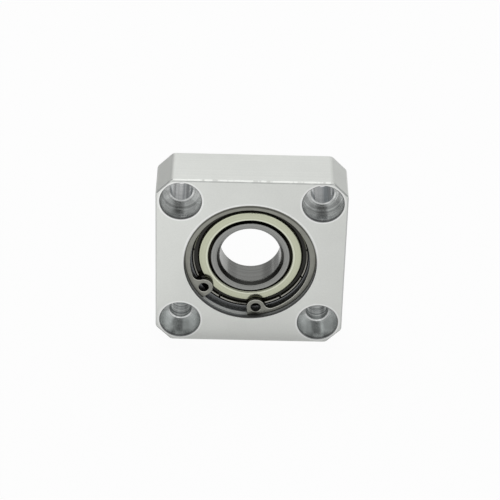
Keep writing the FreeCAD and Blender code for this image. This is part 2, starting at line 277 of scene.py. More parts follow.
# %% Aluminium: nicks in the top edge
NICK_SPACING = 2.5 * MM
NICK_START, NICK_FULL = 0.52, 0.62
TOP_LINE = 0.35 * MM
LINE_START, LINE_FULL = 0.3, 0.5
FAINTEST_LINE = 0.5
nicks = add_node(
    tree, "TexNoise", {"noise_dimensions": "1D", "Scale": 1 / NICK_SPACING, "Detail": 2.0},
    {"W": axes.outputs["X"]})
past_top = add_node(
    tree, "Math", {"operation": "GREATER_THAN", 1: block_high.z - EDGE_BREAK}, {0: height_above_shaft})
top_edge = add_node(tree, "Math", {"operation": "MULTIPLY"}, {0: past_top, 1: at_edge})
deep_nicks = add_node(tree, "MapRange", {"From Min": NICK_START, "From Max": NICK_FULL}, {"Value": nicks})
edge_nicks = add_node(tree, "Math", {"operation": "MULTIPLY"}, {0: top_edge, 1: deep_nicks})
below_top = add_node(
    tree, "Math", {"operation": "COMPARE", 1: block_high.z - EDGE_BREAK - TOP_LINE / 2, 2: TOP_LINE / 2},
    {0: height_above_shaft})
line_tone = add_node(
    tree, "MapRange", {"From Min": LINE_START, "From Max": LINE_FULL, "To Min": FAINTEST_LINE},
    {"Value": nicks})
broken_line = add_node(tree, "Math", {"operation": "MULTIPLY"}, {0: below_top, 1: line_tone})
top_line = add_node(tree, "Math", {"operation": "MULTIPLY"}, {0: broken_line, 1: near_front})
print("about", round(2 * block_high.x / NICK_SPACING), "nicks along the top edge")

# %% [markdown]
# ### Painted shade on the lip
# The lip in front of the groove holds the spring ring. The rim of its lower half is darkened with painted
# shade, and a darker patch of painted shade lies below one ear of the ring. The patch lies on the lip and
# on the ring alike, so its place is named once for both materials. Soft borders let it fade out, where
# sharp ones would show a hard edge.

# %% Aluminium: painted shade on the lip
LIP_SHADE_DEPTH = 0.8 * MM
FRONT_LIP = 1.2 * MM
LIP_SHADE_RADIUS = 4.2 * MM
LIP_SHADE_CORE = LIP_SHADE_RADIUS / 3
SHADE_PATCH_DISTANCE = 16.3 * MM
SHADE_PATCH_ANGLE = math.radians(-85)
SHADE_PATCH_X = SHADE_PATCH_DISTANCE * math.cos(SHADE_PATCH_ANGLE)
SHADE_PATCH_Z = SHADE_PATCH_DISTANCE * math.sin(SHADE_PATCH_ANGLE)
# The rim of the lip's lower half is darkened with painted shade.
on_break = add_node(tree, "Math", {"operation": "LESS_THAN", 1: BORE_RADIUS + RIM_BREAK}, {0: from_shaft})
low_wall = add_node(tree, "Math", {"operation": "MULTIPLY"}, {0: on_break, 1: low_side})
shade_depth = add_node(
    tree, "MapRange", {"From Min": block_low.y + LIP_SHADE_DEPTH, "From Max": block_low.y + RIM_BREAK},
    {"Value": depth})
shaded_lower_rim = add_node(tree, "Math", {"operation": "MULTIPLY"}, {0: low_wall, 1: shade_depth})
on_lip = add_node(
    tree, "Math", {"operation": "LESS_THAN", 1: block_low.y + FRONT_LIP + SLACK}, {0: depth})
low_lip = add_node(tree, "Math", {"operation": "MULTIPLY"}, {0: low_wall, 1: on_lip})
# A darker patch of painted shade lies on the lip below one ear.
near_shade_patch = add_node(
    tree, "MapRange", {"From Min": LIP_SHADE_RADIUS, "From Max": LIP_SHADE_CORE},
    {"Value": distance_from(tree, place, SHADE_PATCH_X, SHADE_PATCH_Z)})
lip_shade_patch = add_node(tree, "Math", {"operation": "MULTIPLY"}, {0: low_lip, 1: near_shade_patch})
print("stain at x", round(SHADE_PATCH_X / MM, 2), "z", round(SHADE_PATCH_Z / MM, 2), "mm")

# %% [markdown]
# ### Marks of the tools
# A turning tool leaves one ring with each turn. The four pockets are mirror images, so their rings would
# be too. The signs of X and Z tell the pockets apart, and with them each pocket moves along the noise by
# a way of its own. Rings are bold on the walls of the two upper pockets and in the two lower holes, and
# faint in the other places. A real feed is about a tenth of a millimetre, too fine to show, so it is
# drawn much coarser.

# %% Aluminium: rings
FEED_PER_TURN = 1.0 * MM
POCKET_SHIFT = (4.4 * MM, 0, 41.7 * MM)
FAINT_RINGS = 0.3
RING_START, RING_FULL = 0.45, 0.65
side = add_node(tree, "VectorMath", {"operation": "SIGN"}, {0: place})
shift = add_node(tree, "VectorMath", {"operation": "DOT_PRODUCT", 1: POCKET_SHIFT}, {0: side})
own_depth = add_node(tree, "Math", {"operation": "ADD"}, {0: depth, 1: shift})
screw_rings = tool_rings(tree, from_screw, own_depth, FEED_PER_TURN)
bore_rings = tool_rings(tree, from_shaft, depth, FEED_PER_TURN)
upper = add_node(tree, "Math", {"operation": "GREATER_THAN", 1: 0.0}, {0: height_above_shaft})
# The difference is 1 on an upper wall, -1 in a lower hole and 0 in the other places.
wall_or_hole = add_node(tree, "Math", {"operation": "SUBTRACT"}, {0: upper, 1: in_hole})
rough_cut = add_node(tree, "Math", {"operation": "ABSOLUTE"}, {0: wall_or_hole})
cut = add_node(tree, "MapRange", {"To Min": FAINT_RINGS, "To Max": 1.0}, {"Value": rough_cut})
dark_rings = add_node(
    tree, "MapRange", {"From Min": RING_START, "From Max": RING_FULL}, {"Value": screw_rings})
dark_cut = add_node(tree, "Math", {"operation": "MULTIPLY"}, {0: dark_rings, 1: cut})
ring_marks = add_node(tree, "Math", {"operation": "MULTIPLY"}, {0: dark_cut, 1: in_pocket})
print("rings are drawn", round(FEED_PER_TURN / MM, 2), "mm apart")

# %% [markdown]
# ### Drag marks
# Chips that a drill or a cutter drags out scratch the wall along its depth. A noise that is read on a
# circle round the screw, with no depth in it, is the same all the way down, and so it draws such lines.
# The two upper holes have them boldly, and the two lower holes show rings instead.

# %% Aluminium: drag marks and streaks
DRAG_WIDTH = 1.3 * MM
DRAG_START, DRAG_FULL = 0.45, 0.6
HOLE_STREAK = 0.8 * MM
HOLE_FEED = 0.6 * MM
STREAK_START, STREAK_FULL = 0.36, 0.7
from_own_screw = add_node(tree, "VectorMath", {"operation": "MULTIPLY"}, {0: to_screw, 1: side})
way_out = add_node(tree, "VectorMath", {"operation": "NORMALIZE"}, {0: from_own_screw})
circle = add_node(tree, "VectorMath", {"operation": "SCALE", "Scale": HOLE_RADIUS}, {0: way_out})
own_circle = add_node(tree, "VectorMath", {"operation": "ADD"}, {0: circle, 1: shift})
drags = add_node(tree, "TexNoise", {"Scale": 1 / DRAG_WIDTH, "Detail": 1.0}, {"Vector": own_circle})
drag_lines = add_node(tree, "MapRange", {"From Min": DRAG_START, "From Max": DRAG_FULL}, {"Value": drags})
drag_marks = add_node(tree, "Math", {"operation": "MULTIPLY"}, {0: drag_lines, 1: in_pocket})
streaks = add_node(tree, "TexNoise", {"Scale": 1 / HOLE_STREAK, "Detail": 1.0}, {"Vector": own_circle})
hole_rings = tool_rings(tree, from_screw, own_depth, HOLE_FEED)
hole_pattern = add_node(tree, "Mix", (), {0: upper, 2: hole_rings, 3: streaks})
dark_lines = add_node(
    tree, "MapRange", {"From Min": STREAK_START, "From Max": STREAK_FULL}, {"Value": hole_pattern})
hole_marks = add_node(tree, "Math", {"operation": "MULTIPLY"}, {0: dark_lines, 1: in_hole})
print("streaks in the upper holes are", round(HOLE_STREAK / MM, 2), "mm wide")

# %% [markdown]
# ### Etched colour
# Etching left a fine grain. Under it the mill's lines and faint clouds still show. Three noises of
# different size, mixed, give that. The real grain is some hundredths of a millimetre, too fine to show,
# so it is drawn about ten times as coarse.

# %% Aluminium: etched colour
ETCH_GRAIN = 0.3 * MM
GRAIN_SHARE = 0.4
MILL_LINE = 0.9 * MM
MILL_SHARE = 0.5
CLOUD = 9 * MM
grain = add_node(tree, "TexNoise", {"Scale": 1 / ETCH_GRAIN, "Detail": 3.0}, {"Vector": place})
clouds = add_node(tree, "TexNoise", {"Scale": 1 / CLOUD, "Detail": 1.0}, {"Vector": place})
mill_lines = add_node(
    tree, "TexNoise", {"noise_dimensions": "1D", "Scale": 1 / MILL_LINE, "Detail": 2.0}, {"W": depth})
clouded = add_node(tree, "Mix", {0: MILL_SHARE}, {2: clouds, 3: mill_lines})
etched = add_node(tree, "Mix", {0: GRAIN_SHARE}, {2: clouded, 3: grain})
colour = add_node(
    tree, "Mix", {"data_type": "RGBA", 6: linear("#d9dbd7"), 7: linear("#f4f6f2")}, {0: etched})
print("grain", round(ETCH_GRAIN / MM, 2), "mm, clouds", round(CLOUD / MM, 2), "mm")

# %% [markdown]
# ### Tones of the cuts
# Each cut lies over the etched colour like a coat of its own tone, where its mask says so, and a later
# coat covers an earlier one. The tool marks only darken what is below them, so they are multiplied. The
# bore's dark tone is painted shade in the recess. A film of oil dulls it, so it is not metal to the eye:
# its metallic value is 0, and 1 in all other places.

# %% Aluminium: tones of the cuts
upper_pocket = add_node(tree, "Math", {"operation": "MULTIPLY"}, {0: upper, 1: in_pocket})
upper_hole = add_node(tree, "Math", {"operation": "MULTIPLY"}, {0: upper, 1: in_hole})
# The bore's dark tone, the pocket mouths, the shade under them, the lower rim and the patch below an ear
# are painted shade; the rim bands and hole rings are painted highlights.
coats = [
    (in_bore, "#8a8d8e"),
    (in_groove, "#e2e4e2"),
    (in_pocket, "#d1d4d3"),
    (upper_pocket, "#dddfde"),
    (in_hole, "#d4d7d5"),
    (upper_hole, "#f0f2f2"),
    (hole_highlight, "#e2e4e3"),
    (shade_under_mouth, "#6a6c6c"),
    (rim_highlight, "#f7f8f6"),
    (shaded_pocket_mouth, "#767878"),
    (filed_corner, "#9c9e9c"),
    (side_edge, "#c8cac8"),
    (top_line, "#c4c6c3"),
    (edge_nicks, "#ccceca"),
    (shaded_lower_rim, "#303232"),
    (lip_shade_patch, "#3a3b3a"),
]
marks = [(ring_marks, "#e0e0e0"), (drag_marks, "#e2e2e2"), (hole_marks, "#a0a5a8")]
for blend, layers in [("MIX", coats), ("MULTIPLY", marks)]:
    for mask, tone in layers:
        settings = {"data_type": "RGBA", "blend_type": blend, 7: linear(tone)}
        colour = add_node(tree, "Mix", settings, {0: mask, 6: colour})
link(tree, colour, shader.inputs["Base Color"])
bare_metal = add_node(tree, "Math", {"operation": "SUBTRACT", 0: 1.0}, {1: in_bore})
link(tree, bare_metal, shader.inputs["Metallic"])
print("laid", len(coats), "coats and", len(marks), "kinds of tool mark")

# %% [markdown]
# ### Gloss
# The etched faces scatter light, and the turned ones are smoother. Their fine rings stretch each
# reflection across the rings, which is what the shader's anisotropic value is for. It needs a direction
# to stretch along, so one is worked out from the axis of the cut: straight out on a floor, straight along
# the axis on a wall.

# %% Aluminium: gloss
ETCHED_SMOOTHEST, ETCHED_ROUGHEST = 0.36, 0.48
TURNED_ROUGHNESS = 0.2
TURNED_STRETCH = 0.8
matt = add_node(
    tree, "MapRange", {"To Min": ETCHED_SMOOTHEST, "To Max": ETCHED_ROUGHEST}, {"Value": grain})
roughness = add_node(tree, "Mix", {3: TURNED_ROUGHNESS}, {0: turned, 2: matt})
link(tree, roughness, shader.inputs["Roughness"])
outwards = add_node(tree, "Mix", {"data_type": "VECTOR"}, {0: in_pocket, 4: to_shaft, 5: from_own_screw})
unit = add_node(tree, "VectorMath", {"operation": "NORMALIZE"}, {0: outwards})
across = add_node(tree, "VectorMath", {"operation": "ADD", 1: (0, 1, 0)}, {0: unit})
tangent = add_node(
    tree, "VectorTransform", {"vector_type": "VECTOR", "convert_from": "OBJECT", "convert_to": "WORLD"},
    {0: across})
stretch = add_node(tree, "Math", {"operation": "MULTIPLY", 1: TURNED_STRETCH}, {0: turned})
link(tree, tangent, shader.inputs["Tangent"])
link(tree, stretch, shader.inputs["Anisotropic"])
print("roughness up to", ETCHED_ROUGHEST, "where etched,", TURNED_ROUGHNESS, "where turned")

# %% [markdown]
# ### Height
# The same grain and rings also stand a little proud. Such low relief would need millions of faces, so a
# bump node tilts the shading instead: heights in metres, the grain on the faces and the rings in the
# cuts.

# %% Aluminium: height of grain and rings
GRAIN_HEIGHT = 0.005 * MM
RING_HEIGHT = 0.06 * MM
deep_rings = add_node(tree, "Math", {"operation": "MULTIPLY"}, {0: screw_rings, 1: cut})
rings = add_node(tree, "Mix", (), {0: in_pocket, 2: bore_rings, 3: deep_rings})
low_grain = add_node(tree, "Math", {"operation": "MULTIPLY", 1: GRAIN_HEIGHT}, {0: grain})
high_rings = add_node(tree, "Math", {"operation": "MULTIPLY", 1: RING_HEIGHT}, {0: rings})
height = add_node(tree, "Mix", (), {0: turned, 2: low_grain, 3: high_rings})
bump = add_node(tree, "Bump", {"Strength": 1.0, "Distance": 1.0}, {"Height": height})
link(tree, bump, shader.inputs["Normal"])
print(aluminium.name, "has", len(tree.nodes), "nodes")

# %% [markdown]
# ## Phosphated spring steel
# Retaining rings are stamped from hardened strip, tumbled and phosphated, then oiled. That leaves a warm,
# dull grey with faint blotches, thin bright lines where tumbling wore the stamped edges, and dark sheared
# walls. Faces could be picked by number for this, but the Y part of the surface's normal tells them apart
# with no list: it is 1 on a flat, 0 on a wall and between the two on a worn edge. Phosphate crystals are
# some hundredths of a millimetre, too fine to show, so they are drawn about ten times as coarse.

# %% Spring steel: flats, edges and walls
BLOTCH = 2.5 * MM
PHOSPHATE_GRAIN = 0.3 * MM
EDGE_SLOPE, EDGE_SPREAD = 0.65, 0.3
spring_steel, tree, shader, coordinates = start_material("phosphated_stamped_spring_steel")
place = coordinates.outputs["Object"]
blotches = add_node(tree, "TexNoise", {"Scale": 1 / BLOTCH, "Detail": 4.0}, {"Vector": place})
crystals = add_node(tree, "TexNoise", {"Scale": 1 / PHOSPHATE_GRAIN, "Detail": 2.0}, {"Vector": place})
facing = add_node(tree, "SeparateXYZ", (), {0: coordinates.outputs["Normal"]}).outputs["Y"]
slope = add_node(tree, "Math", {"operation": "ABSOLUTE"}, {0: facing})
on_edge = add_node(tree, "Math", {"operation": "COMPARE", 1: EDGE_SLOPE, 2: EDGE_SPREAD}, {0: slope})
on_wall = add_node(tree, "Math", {"operation": "LESS_THAN", 1: EDGE_SLOPE - EDGE_SPREAD}, {0: slope})
print("blotches", round(BLOTCH / MM, 2), "mm, grain", round(PHOSPHATE_GRAIN / MM, 2), "mm")

# %% [markdown]
# ### Painted shade on the ring
# Where the ring goes under the lip, a dark line of painted shadow fills the corner. A circle whose centre
# is a little low leaves a crescent of the ring outside it, widest at the top, and a second circle round
# the shaft carries the line on below. The patch of painted shade from the lip reaches onto the ring's face
# beside one ear.

# %% Spring steel: painted shade
CRESCENT_WIDTH = 1.2 * MM
CORNER_SHADOW_START = 15.75 * MM
RING_SHADE_RADIUS = 1.8 * MM
from_low_centre = distance_from(tree, place, 0, -CRESCENT_WIDTH)
in_crescent = add_node(tree, "Math", {"operation": "GREATER_THAN", 1: BORE_RADIUS}, {0: from_low_centre})
from_shaft = distance_from(tree, place, 0, 0)
at_corner = add_node(tree, "Math", {"operation": "GREATER_THAN", 1: CORNER_SHADOW_START}, {0: from_shaft})
# The crescent and the corner line together are a painted shadow of the lip.
lip_shadow_line = add_node(tree, "Math", {"operation": "MAXIMUM"}, {0: in_crescent, 1: at_corner})
# The same patch of painted shade reaches onto the ring beside that ear.
ring_shade_patch = add_node(
    tree, "MapRange", {"From Min": RING_SHADE_RADIUS, "From Max": RING_SHADE_RADIUS / 2},
    {"Value": distance_from(tree, place, SHADE_PATCH_X, SHADE_PATCH_Z)})
print("oil line from", round(CORNER_SHADOW_START / MM, 2), "mm outwards")

# %% [markdown]
# ### Tones and gloss of the ring
# The ring could be dressed with one even grey, but the coats laid over it are what makes it look stamped
# and used. Phosphate is porous, so it is rougher than bare steel, and its crystals also give a very low
# relief.

# %% Spring steel: colour, gloss and height
PHOSPHATE_SMOOTHEST, PHOSPHATE_ROUGHEST = 0.38, 0.5
PHOSPHATE_HEIGHT = 0.01 * MM
colour = add_node(
    tree, "Mix", {"data_type": "RGBA", 6: linear("#8d8d85"), 7: linear("#a5a69e")}, {0: blotches})
coats = [(on_edge, "#bdbdb4"), (on_wall, "#2b2a26"), (lip_shadow_line, "#66665f"), (ring_shade_patch, "#4e4e49")]
for mask, tone in coats:
    colour = add_node(tree, "Mix", {"data_type": "RGBA", 7: linear(tone)}, {0: mask, 6: colour})
link(tree, colour, shader.inputs["Base Color"])
shader.inputs["Metallic"].default_value = 1.0
dull = add_node(
    tree, "MapRange", {"To Min": PHOSPHATE_SMOOTHEST, "To Max": PHOSPHATE_ROUGHEST}, {"Value": crystals})
link(tree, dull, shader.inputs["Roughness"])
bump = add_node(tree, "Bump", {"Strength": 0.2, "Distance": PHOSPHATE_HEIGHT}, {"Height": crystals})
link(tree, bump, shader.inputs["Normal"])
print(spring_steel.name, "has", len(tree.nodes), "nodes")

# %% [markdown]
# ## Ground bearing steel
# The faces and the bore of the bearing rings were ground, so they mirror their surroundings softly. The
# face of the outer ring is darkened with painted shade, the chamfer at the bore stayed dark, and the outer
# edge of the inner ring's face has a painted highlight, a bright line. Grease covers the walls between the
# rings, and their dark tone there is also painted shade in the gap. All these borders are circles about
# the shaft, so a start and an end for each are enough. Grinding lines are some hundredths of a millimetre
# apart, too fine to show, so they are drawn about ten times as coarse.

# %% Bearing steel: faces and grease
FACE_LINE = 0.5 * MM
GREASE_START, GREASE_FULL = 0.1 * MM, 0.3 * MM
GREASE_RADIUS = 9 * MM
bearing_steel, tree, shader, coordinates = start_material("ground_bearing_steel")
place = coordinates.outputs["Object"]
depth = add_node(tree, "SeparateXYZ", (), {0: place}).outputs["Y"]
from_shaft = distance_from(tree, place, 0, 0)
face_lines = tool_rings(tree, from_shaft, depth, FACE_LINE)
from_middle = add_node(tree, "Math", {"operation": "SUBTRACT", 1: bearing_middle}, {0: depth})
off_middle = add_node(tree, "Math", {"operation": "ABSOLUTE"}, {0: from_middle})
below_face = add_node(
    tree, "MapRange",
    {"From Min": bearing_half_width - GREASE_START, "From Max": bearing_half_width - GREASE_FULL},
    {"Value": off_middle})
past_face = add_node(tree, "Math", {"operation": "GREATER_THAN", 1: GREASE_RADIUS}, {0: from_shaft})
# The dark tone between the rings is grease and painted shade in the gap together.
grease_and_shade = add_node(tree, "Math", {"operation": "MULTIPLY"}, {0: below_face, 1: past_face})
print("bearing is", round(2 * bearing_half_width / MM, 2), "mm wide")

# %% Bearing steel: colour
# The outer ring's face is darkened with painted shade.
SHADED_OUTER_FACE = (14.05 * MM, 16.2 * MM)
BORE_CHAMFER = (7.62 * MM, 8.18 * MM)
# A bright line of painted highlight at the outer edge of the inner ring's face.
EDGE_HIGHLIGHT = (9.1 * MM, 9.4 * MM)
coats = [(grease_and_shade, "#26241f")]
for (start, end), tone in [(SHADED_OUTER_FACE, "#6e7071"), (BORE_CHAMFER, "#4c4c4a"), (EDGE_HIGHLIGHT, "#a4a5a2")]:
    settings = {"operation": "COMPARE", 1: (start + end) / 2, 2: (end - start) / 2}
    coats.append((add_node(tree, "Math", settings, {0: from_shaft}), tone))
colour = add_node(
    tree, "Mix", {"data_type": "RGBA", 6: linear("#787976"), 7: linear("#adaeab")}, {0: face_lines})
for mask, tone in coats:
    colour = add_node(tree, "Mix", {"data_type": "RGBA", 7: linear(tone)}, {0: mask, 6: colour})
link(tree, colour, shader.inputs["Base Color"])
shader.inputs["Metallic"].default_value = 1.0
print("coats on the bearing steel:", len(coats))

# %% [markdown]
# ### Gloss of the bearing rings
# Ground steel has a roughness of about 0.2. A film of oil lies on it in patches and clouds the
# reflections a little, apart from the bore, which the shaft wipes clean. The grinding lines are so low
# that they only ripple the reflections.

# %% Bearing steel: gloss and height
OIL_PATCH = 4 * MM
OILED_SMOOTHEST, OILED_ROUGHEST = 0.22, 0.32
BORE_END = 7.6 * MM
BORE_ROUGHNESS = 0.2
GRINDING_LINE = 0.35 * MM
GRINDING_HEIGHT = 0.01 * MM
film = add_node(tree, "TexNoise", {"Scale": 1 / OIL_PATCH, "Detail": 2.0}, {"Vector": place})
gloss = add_node(tree, "MapRange", {"To Min": OILED_SMOOTHEST, "To Max": OILED_ROUGHEST}, {"Value": film})
at_shaft = add_node(tree, "Math", {"operation": "LESS_THAN", 1: BORE_END}, {0: from_shaft})
honed = add_node(tree, "Mix", {3: BORE_ROUGHNESS}, {0: at_shaft, 2: gloss})
link(tree, honed, shader.inputs["Roughness"])
grinding = tool_rings(tree, from_shaft, depth, GRINDING_LINE)
bump = add_node(tree, "Bump", {"Strength": 0.05, "Distance": GRINDING_HEIGHT}, {"Height": grinding})
link(tree, bump, shader.inputs["Normal"])
print(bearing_steel.name, "has", len(tree.nodes), "nodes")

# %% [markdown]
# ## Passivated zinc plated sheet
# The shields are pressed from thin sheet, zinc plated and passivated, which tints them a pale straw yellow
# with faint wipe marks. Their inner edge is rolled. The roll is darkened with painted shade, and the band
# beside it is lightened as a painted highlight. The valley behind the crimped rim is painted almost black,
# partly for oil and dust that settle there and partly as painted shade, and the cut edge of the rim is
# bare grey steel. Depth below the bearing's face tells flat, valley and rim apart. It is counted from the
# bearing's middle, so one material suits both shields.

# %% Plated sheet: flat, valley and rim
VALLEY_START, VALLEY_FULL = 0.45 * MM, 0.65 * MM
VALLEY_RADIUS = 12.2 * MM
RIM_RADIUS = 13.4 * MM
ROLL_END = 10.46 * MM
HIGHLIGHT_BAND_END = 10.85 * MM
plated_sheet, tree, shader, coordinates = start_material("passivated_zinc_plated_sheet")
place = coordinates.outputs["Object"]
depth = add_node(tree, "SeparateXYZ", (), {0: place}).outputs["Y"]
from_shaft = distance_from(tree, place, 0, 0)
from_middle = add_node(tree, "Math", {"operation": "SUBTRACT", 1: bearing_middle}, {0: depth})
off_middle = add_node(tree, "Math", {"operation": "ABSOLUTE"}, {0: from_middle})
sunk = add_node(
    tree, "MapRange",
    {"From Min": bearing_half_width - VALLEY_START, "From Max": bearing_half_width - VALLEY_FULL},
    {"Value": off_middle})
past_flat = add_node(tree, "Math", {"operation": "GREATER_THAN", 1: VALLEY_RADIUS}, {0: from_shaft})
in_valley = add_node(tree, "Math", {"operation": "MULTIPLY"}, {0: sunk, 1: past_flat})
on_rim = add_node(tree, "Math", {"operation": "GREATER_THAN", 1: RIM_RADIUS}, {0: from_shaft})
# The band beside the roll is a painted highlight, and the roll is darkened with painted shade.
roll_highlight_band = add_node(tree, "Math", {"operation": "LESS_THAN", 1: HIGHLIGHT_BAND_END}, {0: from_shaft})
shaded_roll = add_node(tree, "Math", {"operation": "LESS_THAN", 1: ROLL_END}, {0: from_shaft})
print("valley from", round(VALLEY_RADIUS / MM, 2), "to", round(RIM_RADIUS / MM, 2), "mm")

# %% [markdown]
# ### Painted shade behind the ears
# The two ears of the spring ring stand close in front of the shield, and the narrow gap behind them lies
# in shade. That shade, with the ear's dark reflection, is painted as a dark fringe round each ear: a disc
# a little wider than the ear, on the front shield alone.

# %% Plated sheet: painted shade behind the ears
EAR_DISTANCE = 13.95 * MM
EAR_RADIUS = 2.25 * MM
EAR_ANGLES = [math.radians(angle) for angle in (-143.75, -83.25)]
SHADE_FRINGE = 0.3 * MM
SHADE_COVER = 0.95
in_front = add_node(tree, "Math", {"operation": "LESS_THAN", 1: bearing_middle}, {0: depth})
ear_shade = []
for angle in EAR_ANGLES:
    from_ear = distance_from(tree, place, EAR_DISTANCE * math.cos(angle), EAR_DISTANCE * math.sin(angle))
    settings = {"From Min": EAR_RADIUS + SHADE_FRINGE, "From Max": EAR_RADIUS, "To Max": SHADE_COVER}
    behind_ear = add_node(tree, "MapRange", settings, {"Value": from_ear})
    ear_shade.append(add_node(tree, "Math", {"operation": "MULTIPLY"}, {0: behind_ear, 1: in_front}))
print("oil behind", len(ear_shade), "ears")

# %% [markdown]
# ### Tones and gloss of the shields
# Plating keeps the mirror of the rolled sheet, so the shields are the glossiest pieces. The dark coat in
# the valley, dirt and painted shade together, is no metal, so the metallic value falls there. Wiping
# leaves marks round the shaft, and the press leaves finer ones. Both could be scratches on a UV map, but
# as rings they need no map at all. The press lines are drawn coarser than they are, because the real ones
# are too fine to show.

# %% Plated sheet: colour
WIPE_LINE = 0.7 * MM
DIRTY_METAL = 0.3
wiped = tool_rings(tree, from_shaft, depth, WIPE_LINE)
colour = add_node(
    tree, "Mix", {"data_type": "RGBA", 6: linear("#bfc2a9"), 7: linear("#d9dcc5")}, {0: wiped})
# Here the band beside the roll is a painted highlight, the roll and the fringes round the ears are painted
# shade, and the valley's near black is dirt and painted shade together.
coats = [(roll_highlight_band, "#e4e7d3"), (shaded_roll, "#8a8c7c"), (on_rim, "#8e8d86"), (in_valley, "#1e1d15")]
# Each fringe round an ear is painted shade.
coats += [(oil, "#26251c") for oil in ear_shade]
for mask, tone in coats:
    colour = add_node(tree, "Mix", {"data_type": "RGBA", 7: linear(tone)}, {0: mask, 6: colour})
link(tree, colour, shader.inputs["Base Color"])
metal = add_node(tree, "MapRange", {"To Min": 1.0, "To Max": DIRTY_METAL}, {"Value": in_valley})
link(tree, metal, shader.inputs["Metallic"])
print("wipe marks are", round(WIPE_LINE / MM, 2), "mm apart")

# %% Plated sheet: gloss and height
ROLLED_PATCH = 1.5 * MM
PLATED_SMOOTHEST, PLATED_ROUGHEST = 0.14, 0.2
PRESS_LINE = 0.35 * MM
PRESS_HEIGHT = 0.01 * MM
rolled = add_node(tree, "TexNoise", {"Scale": 1 / ROLLED_PATCH, "Detail": 3.0}, {"Vector": place})
gloss = add_node(
    tree, "MapRange", {"To Min": PLATED_SMOOTHEST, "To Max": PLATED_ROUGHEST}, {"Value": rolled})
link(tree, gloss, shader.inputs["Roughness"])
press_lines = tool_rings(tree, from_shaft, depth, PRESS_LINE)
bump = add_node(tree, "Bump", {"Strength": 0.08, "Distance": PRESS_HEIGHT}, {"Height": press_lines})
link(tree, bump, shader.inputs["Normal"])
print(plated_sheet.name, "has", len(tree.nodes), "nodes")

# %% [markdown]
# ## Greased steel inside the bearing
# The cage is pressed strip and the balls are lapped, and both are packed in grease. Almost none of this
# shows from outside: a thin dark line round the inner ring is all that the gap lets through. Grease could
# be modelled as lumps of its own, but here a mottle that darkens the steel and dulls it where it lies
# thick is enough. The two materials differ only in tone and dullness, so a loop makes both.

# %% Materials: greased cage strip and lapped balls
SMEAR = 1.2 * MM
GREASE_DULLING = 0.2
# Tone under thick grease, tone under thin grease, and roughness under thin grease.
finishes = {
    "greased_pressed_cage_strip": ("#3a362e", "#5b574e", 0.45),
    "greased_lapped_balls": ("#6f6d68", "#8d8d8c", 0.15),
}
greased = {}
for name, (dark, light, least_rough) in finishes.items():
    material, tree, shader, coordinates = start_material(name)
    place = coordinates.outputs["Object"]
    smears = add_node(tree, "TexNoise", {"Scale": 1 / SMEAR, "Detail": 3.0}, {"Vector": place})
    colour = add_node(tree, "Mix", {"data_type": "RGBA", 6: linear(dark), 7: linear(light)}, {0: smears})
    link(tree, colour, shader.inputs["Base Color"])
    gloss = add_node(
        tree, "MapRange", {"To Min": least_rough + GREASE_DULLING, "To Max": least_rough},
        {"Value": smears})
    link(tree, gloss, shader.inputs["Roughness"])
    shader.inputs["Metallic"].default_value = 1.0
    greased[name] = material
print("inside:", list(greased))

# %% [markdown]
# ## Dressing the pieces
# Each solid has one material slot, and the finish goes there. The meshes stay untouched. What is not
# listed is one of the nine balls.

# %% Give each piece its finish
finish_of = {
    "housing": aluminium,
    "retaining_ring": spring_steel,
    "outer_ring": bearing_steel,
    "inner_ring": bearing_steel,
    "front_shield": plated_sheet,
    "rear_shield": plated_sheet,
    "cage_front": greased["greased_pressed_cage_strip"],
    "cage_rear": greased["greased_pressed_cage_strip"],
    "cage_rivets": greased["greased_pressed_cage_strip"],
}
for name, piece in frame["nodes"].items():
    piece.material_slots[0].material = finish_of.get(name, greased["greased_lapped_balls"])
print("dressed", len(frame["nodes"]), "pieces")

# %% [markdown]
# ## A white tent
# Small shiny parts are often photographed in a tent of white cloth. The tent could be a mesh with lamps
# outside it, but the world does the same with less noise in the picture: it is white where the camera or
# a reflection sees it, and a little dimmer as a light on matt things.

# %% World
TENT_LIGHT = 0.6
scene = bpy.context.scene
scene.view_settings.view_transform = "Standard"
tent = bpy.data.worlds.new("white_tent")
scene.world = tent
tent.use_nodes = True
tree = tent.node_tree
tree.nodes.clear()
ray = add_node(tree, "LightPath").outputs
seen_or_mirrored = add_node(
    tree, "Math", {"operation": "MAXIMUM"}, {0: ray["Is Camera Ray"], 1: ray["Is Glossy Ray"]})
seen = add_node(
    tree, "Math", {"operation": "MAXIMUM"}, {0: seen_or_mirrored, 1: ray["Is Transmission Ray"]})
strength = add_node(tree, "MapRange", {"To Min": TENT_LIGHT, "To Max": 1.0}, {"Value": seen})
cloth = add_node(tree, "Background", {"Color": linear("#ffffff")}, {"Strength": strength})
add_node(tree, "OutputWorld", (), {"Surface": cloth})
print("the tent lights matt things at", TENT_LIGHT, "of white")

# %% [markdown]
# ## A white sheet
# The unit stands on a sheet of white paper. Lit paper alone would come out grey, and plain white would
# hold no shadow, so the material mixes the two: mostly white for the camera, and less so in a reflection.

# %% Floor
FLOOR_SIZE = 6
WHITE_SHARE = 0.94
MIRRORED_WHITE_SHARE = 0.35
bpy.ops.mesh.primitive_plane_add(size=FLOOR_SIZE, location=(0, 0, block_low.z))
floor = bpy.context.object
floor.name = "floor"
floor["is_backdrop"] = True
paper = bpy.data.materials.new("matt_white_paper")
paper.use_nodes = True
tree = paper.node_tree
tree.nodes.clear()
ray = add_node(tree, "LightPath").outputs
seen = add_node(
    tree, "Math", {"operation": "MAXIMUM"}, {0: ray["Is Camera Ray"], 1: ray["Is Transmission Ray"]})
seen_share = add_node(tree, "Math", {"operation": "MULTIPLY", 1: WHITE_SHARE}, {0: seen})
share = add_node(
    tree, "Math", {"operation": "MULTIPLY_ADD", 1: MIRRORED_WHITE_SHARE},
    {0: ray["Is Glossy Ray"], 2: seen_share})
lit = add_node(tree, "BsdfDiffuse", {"Color": linear("#f6f6f6")})
